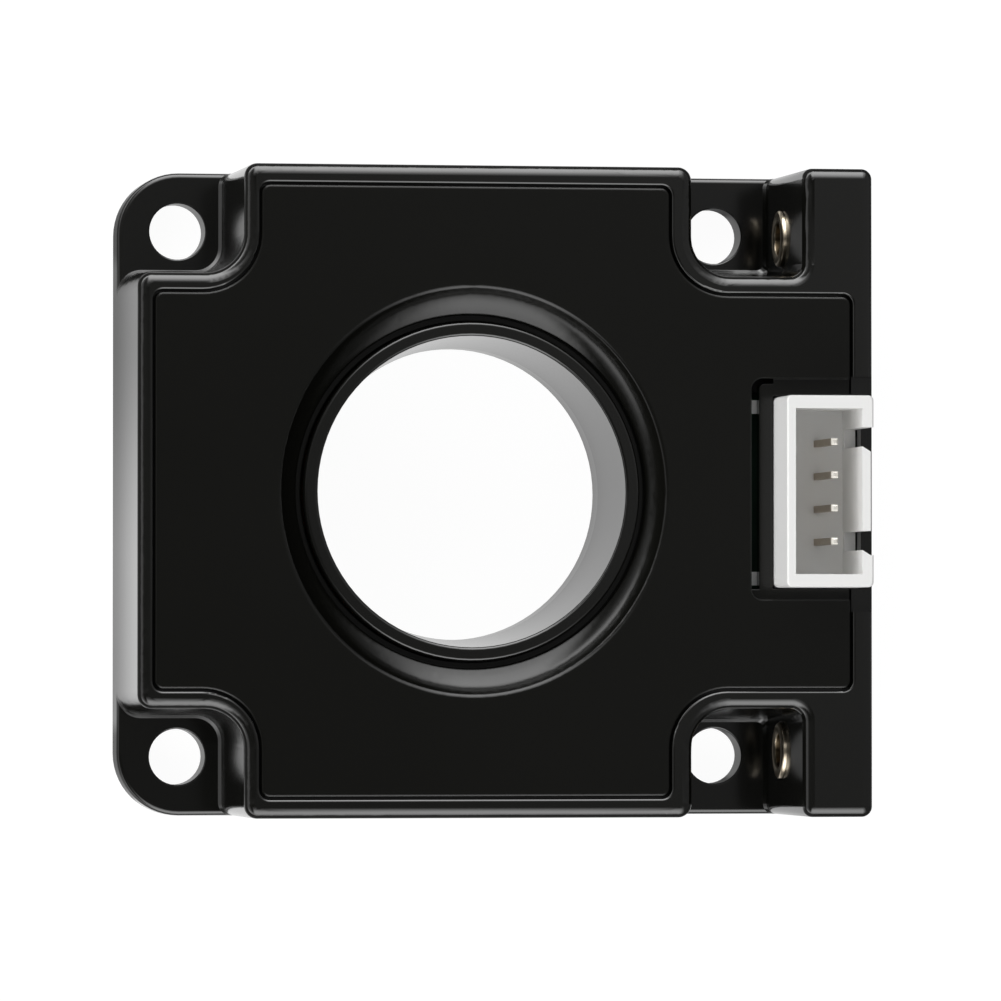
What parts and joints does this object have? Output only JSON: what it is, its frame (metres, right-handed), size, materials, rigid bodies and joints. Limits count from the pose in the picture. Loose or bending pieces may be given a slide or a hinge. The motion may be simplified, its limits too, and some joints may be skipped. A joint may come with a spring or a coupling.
{
  "type": "hall effect current sensor",
  "caption": "Closed-loop current transducer: a black moulded case with a round through bore, corner panel holes, a side mounting foot with threaded inserts and a white header.",
  "frame": {"origin": "on the bore axis, at the flat back face that lies on the panel", "axes": "+Z along the bore, out of the front; +X towards the mounting foot and its header; +Y up in the front view"},
  "size_m": [0.072, 0.063, 0.0268],
  "materials": {
    "case_black": "moulded black plastic, satin",
    "cover_black": "moulded black plastic, fine grain",
    "header_white": "natural white plastic",
    "pin_metal": "tin-plated, bright",
    "insert_brass": "turned, lightly nickel-plated",
    "core_steel": "wound magnetic strip",
    "core_case": "dark insulating plastic",
    "winding_copper": "enamelled copper wire",
    "element_black": "moulded package",
    "board_green": "coated glass-fibre board",
    "can_sleeve": "shrink sleeve",
    "chip_dark": "glazed ceramic",
    "chip_tan": "fired ceramic"
  },
  "bodies": {
    "root": {"housing": "case_black", "front_cover": "cover_black", "header_shell": "header_white", "header_pin_1": "pin_metal", "header_pin_2": "pin_metal", "header_pin_3": "pin_metal", "header_pin_4": "pin_metal", "insert_upper": "insert_brass", "insert_lower": "insert_brass", "magnetic_core": "core_steel", "core_case_back": "core_case", "core_case_front": "core_case", "secondary_winding": "winding_copper", "winding_lead_start": "winding_copper", "winding_lead_finish": "winding_copper", "hall_element": "element_black", "circuit_board": "board_green", "amplifier_ic": "element_black", "driver_transistor_1": "element_black", "driver_transistor_2": "element_black", "electrolytic_capacitor_1": "can_sleeve", "electrolytic_capacitor_2": "can_sleeve", "chip_resistors": "chip_dark", "chip_capacitors": "chip_tan"}
  },
  "joints": []
}
